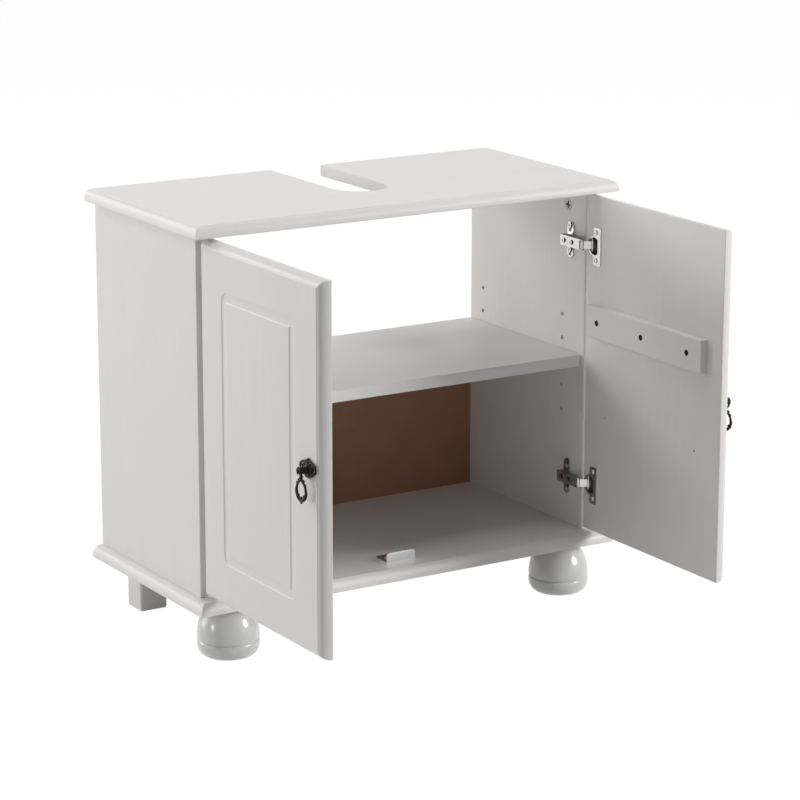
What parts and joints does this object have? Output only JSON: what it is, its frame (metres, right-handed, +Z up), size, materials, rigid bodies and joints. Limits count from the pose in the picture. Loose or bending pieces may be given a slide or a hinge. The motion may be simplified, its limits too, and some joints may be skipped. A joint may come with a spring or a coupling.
{
  "type": "sink base cabinet",
  "caption": "Low white base cabinet with moulded doors on cup hinges, a shelf, drop handles, ball feet in front and a top slotted to the rear for a basin's waste pipe.",
  "frame": {"origin": "on the floor, at the middle of the outline that the cabinet has with both doors open at a right angle", "axes": "+X to the cabinet's right as seen from the front, +Y to the wall, +Z up"},
  "size_m": [0.618, 0.5664, 0.554],
  "materials": {
    "white_board": "white satin foil with a fine upright grain on moulded fibreboard",
    "white_turned": "white gloss lacquer on turned wood",
    "hardboard": "bare brown hardboard, smooth face",
    "beech": "bare fluted beech dowel",
    "zinc": "bright zinc plate",
    "brushed_angle": "brushed sheet steel",
    "nickel": "bright nickel plate",
    "bronze": "antique bronze, darkened cast metal"
  },
  "bodies": {
    "carcass": {"top_panel": "white_board", "bottom_panel": "white_board", "side_panel_left": "white_board", "side_panel_right": "white_board", "shelf": "white_board", "back_panel": "hardboard", "shelf_pins": "zinc", "cam_locks": "zinc", "cam_bolts": "zinc", "dowels": "beech", "bottom_screws": "zinc", "back_nails": "zinc", "ball_foot_left": "white_turned", "block_foot_left": "white_board", "ball_foot_right": "white_turned", "block_foot_right": "white_board", "foot_studs": "zinc", "door_stop": "brushed_angle", "door_stop_screws": "zinc", "hinge_plate_lower_left": "nickel", "hinge_arm_lower_left": "nickel", "hinge_plate_upper_left": "nickel", "hinge_arm_upper_left": "nickel", "hinge_plate_lower_right": "nickel", "hinge_arm_lower_right": "nickel", "hinge_plate_upper_right": "nickel", "hinge_arm_upper_right": "nickel", "hinge_adjust_screws": "zinc", "hinge_plate_screws": "zinc", "arm_pins": "nickel"},
    "link_upper_left": {"hinge_link_upper_left": "nickel"},
    "link_lower_left": {"hinge_link_lower_left": "nickel"},
    "door_left": {"door_left": "white_board", "door_batten_left": "white_board", "batten_screws_left": "zinc", "cup_screws_left": "zinc", "cup_pins_left": "nickel", "hinge_cup_lower_left": "nickel", "hinge_cup_upper_left": "nickel", "handle_plate_left": "bronze", "handle_post_left": "bronze", "handle_stud_left": "zinc", "drop_pin_left": "bronze"},
    "drop_left": {"handle_drop_left": "bronze"},
    "link_upper_right": {"hinge_link_upper_right": "nickel"},
    "link_lower_right": {"hinge_link_lower_right": "nickel"},
    "door_right": {"door_right": "white_board", "door_batten_right": "white_board", "batten_screws_right": "zinc", "cup_screws_right": "zinc", "cup_pins_right": "nickel", "hinge_cup_lower_right": "nickel", "hinge_cup_upper_right": "nickel", "handle_plate_right": "bronze", "handle_post_right": "bronze", "handle_stud_right": "zinc", "drop_pin_right": "bronze"},
    "drop_right": {"handle_drop_right": "bronze"}
  },
  "joints": [
    {"name": "link_upper_left_turn", "type": "hinge", "parent": "carcass", "child": "link_upper_left", "pos_m": [-0.2685, 0.00424, 0.469], "axis": [0, 0, -1], "range_deg": [-3.87, 44.07]},
    {"name": "link_lower_left_turn", "type": "hinge", "parent": "carcass", "child": "link_lower_left", "pos_m": [-0.2685, 0.00424, 0.149], "axis": [0, 0, -1], "range_deg": [-3.87, 44.07]},
    {"name": "door_left_swing", "type": "hinge", "parent": "link_upper_left", "child": "door_left", "pos_m": [-0.2795, -0.00314, 0.469], "axis": [0, 0, -1], "range_deg": [-132.57, 7.37]},
    {"name": "drop_left_swing", "type": "hinge", "parent": "door_left", "child": "drop_left", "pos_m": [-0.3048, -0.25875, 0.3105], "axis": [0, 1, 0], "range_deg": [-12, 90]},
    {"name": "link_upper_right_turn", "type": "hinge", "parent": "carcass", "child": "link_upper_right", "pos_m": [0.2685, 0.00424, 0.469], "axis": [0, 0, 1], "range_deg": [-3.87, 44.07]},
    {"name": "link_lower_right_turn", "type": "hinge", "parent": "carcass", "child": "link_lower_right", "pos_m": [0.2685, 0.00424, 0.149], "axis": [0, 0, 1], "range_deg": [-3.87, 44.07]},
    {"name": "door_right_swing", "type": "hinge", "parent": "link_upper_right", "child": "door_right", "pos_m": [0.2795, -0.00314, 0.469], "axis": [0, 0, 1], "range_deg": [-132.57, 7.37]},
    {"name": "drop_right_swing", "type": "hinge", "parent": "door_right", "child": "drop_right", "pos_m": [0.3048, -0.25875, 0.3105], "axis": [0, -1, 0], "range_deg": [-12, 90]}
  ],
  "couplings": [
    {"joint": "link_upper_left_turn", "follows": "door_left_swing", "ratio": -0.32113},
    {"joint": "link_lower_left_turn", "follows": "door_left_swing", "ratio": -0.32113},
    {"joint": "link_upper_right_turn", "follows": "door_right_swing", "ratio": -0.32113},
    {"joint": "link_lower_right_turn", "follows": "door_right_swing", "ratio": -0.32113}
  ]
}
